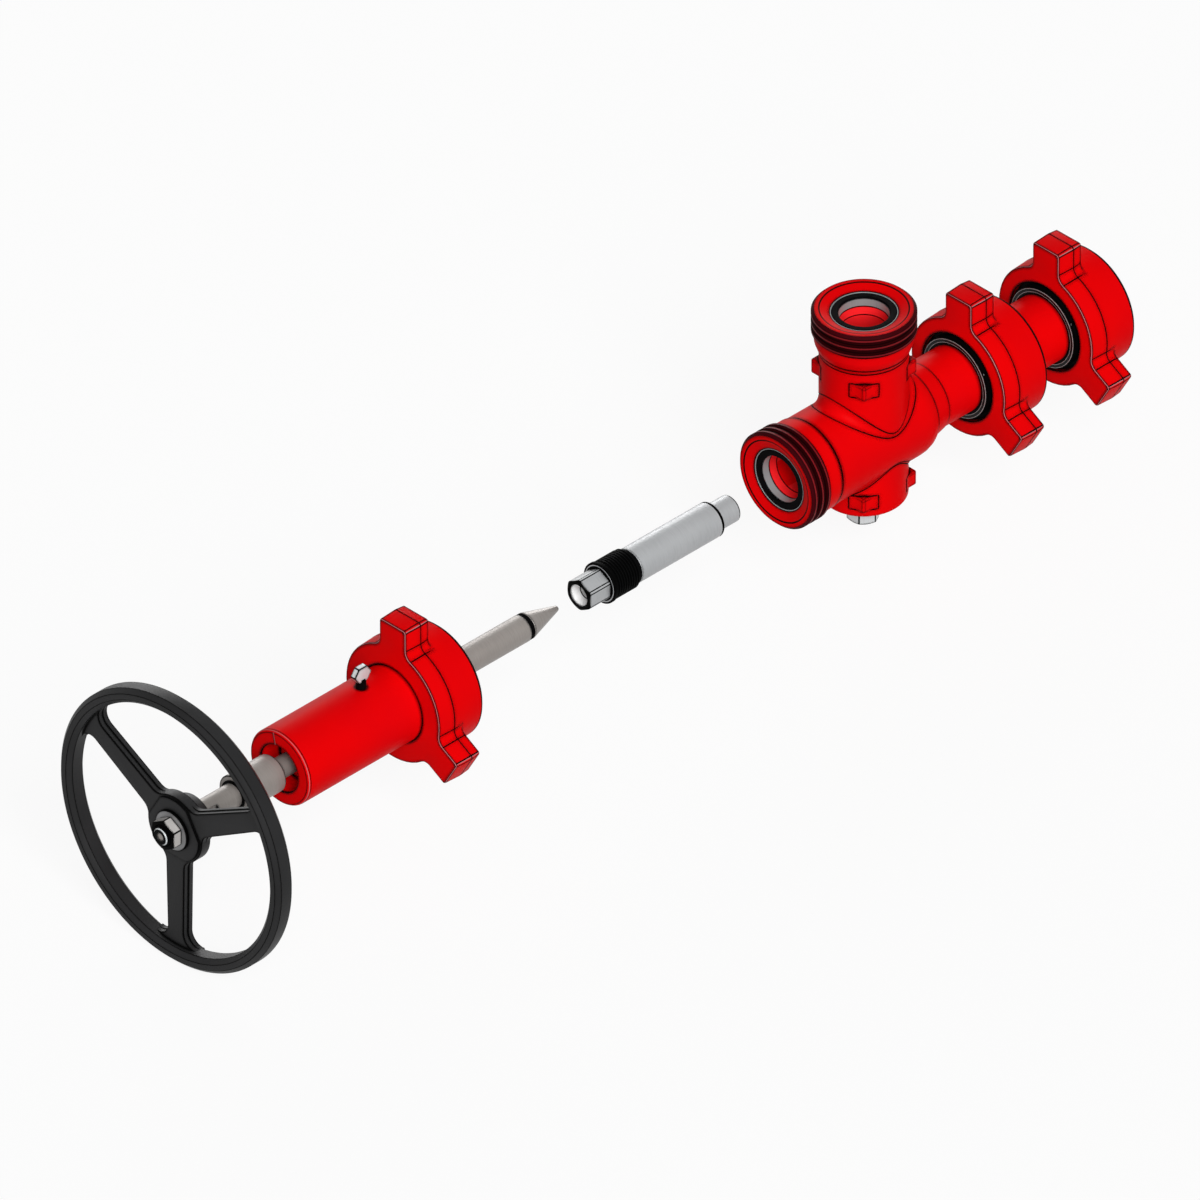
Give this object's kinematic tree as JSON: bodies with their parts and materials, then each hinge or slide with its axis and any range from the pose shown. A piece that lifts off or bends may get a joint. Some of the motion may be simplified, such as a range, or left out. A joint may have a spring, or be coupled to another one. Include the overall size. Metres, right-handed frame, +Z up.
{
  "type": "adjustable choke valve",
  "caption": "Adjustable needle choke for high-pressure lines: cross body with hammer-union ends and wing nuts, bonnet with handwheel stem, and a separate bean, shown pulled apart on one axis.",
  "frame": {"origin": "on the inlet axis, at the middle of the inlet thread; the run axis is 126.33 mm below it", "axes": "+X downstream along the run, from the handwheel towards the outlet; +Z up, out of the inlet; +Y completes a right-handed frame"},
  "size_m": [1.211, 0.287, 0.287],
  "materials": {
    "body_red": "gloss red enamel over steel forging",
    "wheel_black": "black enamel over cast iron",
    "stem_steel": "turned stainless steel",
    "needle_hard": "ground hard alloy",
    "bean_steel": "turned alloy steel",
    "liner_carbide": "ground carbide",
    "seal_steel": "satin steel",
    "seal_rubber": "matt black rubber",
    "plug_steel": "bright zinc plate",
    "retainer_steel": "satin zinc plate",
    "snap_black": "black oxide",
    "packing_white": "matt fluoropolymer",
    "brass": "turned brass"
  },
  "bodies": {
    "valve_body": {"choke_body": "body_red", "outlet_sub": "body_red", "inlet_seal_ring": "seal_rubber", "inlet_seal_insert": "seal_steel", "bonnet_seal_ring": "seal_rubber", "bonnet_seal_insert": "seal_steel", "sub_seal_ring": "seal_rubber", "sub_seal_insert": "seal_steel", "bottom_plug": "plug_steel", "plug_seal": "seal_rubber", "outlet_retainer_segments": "retainer_steel", "outlet_snap_ring": "snap_black", "sub_retainer_segments": "retainer_steel", "sub_snap_ring": "snap_black"},
    "outlet_wing_nut": {"outlet_nut": "body_red"},
    "sub_wing_nut": {"sub_nut": "body_red"},
    "bean_assembly": {"bean": "bean_steel", "bean_liner": "liner_carbide", "bean_o_ring": "seal_rubber"},
    "bonnet_assembly": {"bonnet": "body_red", "packing_gland": "brass", "packing_backup_ring": "brass", "stem_packing": "packing_white", "lock_pad": "brass"},
    "bonnet_wing_nut": {"bonnet_nut": "body_red"},
    "thumb_screw": {"lock_screw": "plug_steel"},
    "collar_slider": {"travel_collar": "stem_steel"},
    "stem_assembly": {"stem": "stem_steel", "collar_clips": "snap_black", "needle_tip": "needle_hard", "needle_ring": "seal_rubber", "handwheel": "wheel_black", "wheel_washer": "retainer_steel", "wheel_nut": "stem_steel"}
  },
  "joints": [
    {"name": "bonnet_close", "type": "slide", "parent": "valve_body", "child": "bonnet_assembly", "axis": [1, 0, 0], "range_m": [0, 0.4745]},
    {"name": "bean_close", "type": "slide", "parent": "valve_body", "child": "bean_assembly", "axis": [1, 0, 0], "range_m": [0, 0.4175]},
    {"name": "bonnet_nut_spin", "type": "hinge", "parent": "bonnet_assembly", "child": "bonnet_wing_nut", "pos_m": [-0.584, 0, -0.12633], "axis": [1, 0, 0], "continuous": true},
    {"name": "outlet_nut_spin", "type": "hinge", "parent": "valve_body", "child": "outlet_wing_nut", "pos_m": [0.153, 0, -0.12633], "axis": [1, 0, 0], "continuous": true},
    {"name": "sub_nut_spin", "type": "hinge", "parent": "valve_body", "child": "sub_wing_nut", "pos_m": [0.268, 0, -0.12633], "axis": [1, 0, 0], "continuous": true},
    {"name": "lock_turn", "type": "hinge", "parent": "bonnet_assembly", "child": "thumb_screw", "pos_m": [-0.654, 0, -0.08633], "axis": [0, 0, 1], "range_deg": [0, 540]},
    {"name": "stem_travel", "type": "slide", "parent": "bonnet_assembly", "child": "collar_slider", "axis": [-1, 0, 0], "range_m": [0, 0.0445]},
    {"name": "wheel_turn", "type": "hinge", "parent": "collar_slider", "child": "stem_assembly", "pos_m": [-0.85, 0, -0.12633], "axis": [-1, 0, 0], "range_deg": [0, 2520]}
  ],
  "couplings": [
    {"joint": "bean_close", "follows": "bonnet_close", "ratio": 0.87972},
    {"joint": "stem_travel", "follows": "wheel_turn", "m_per_rad": 0.0010106}
  ]
}
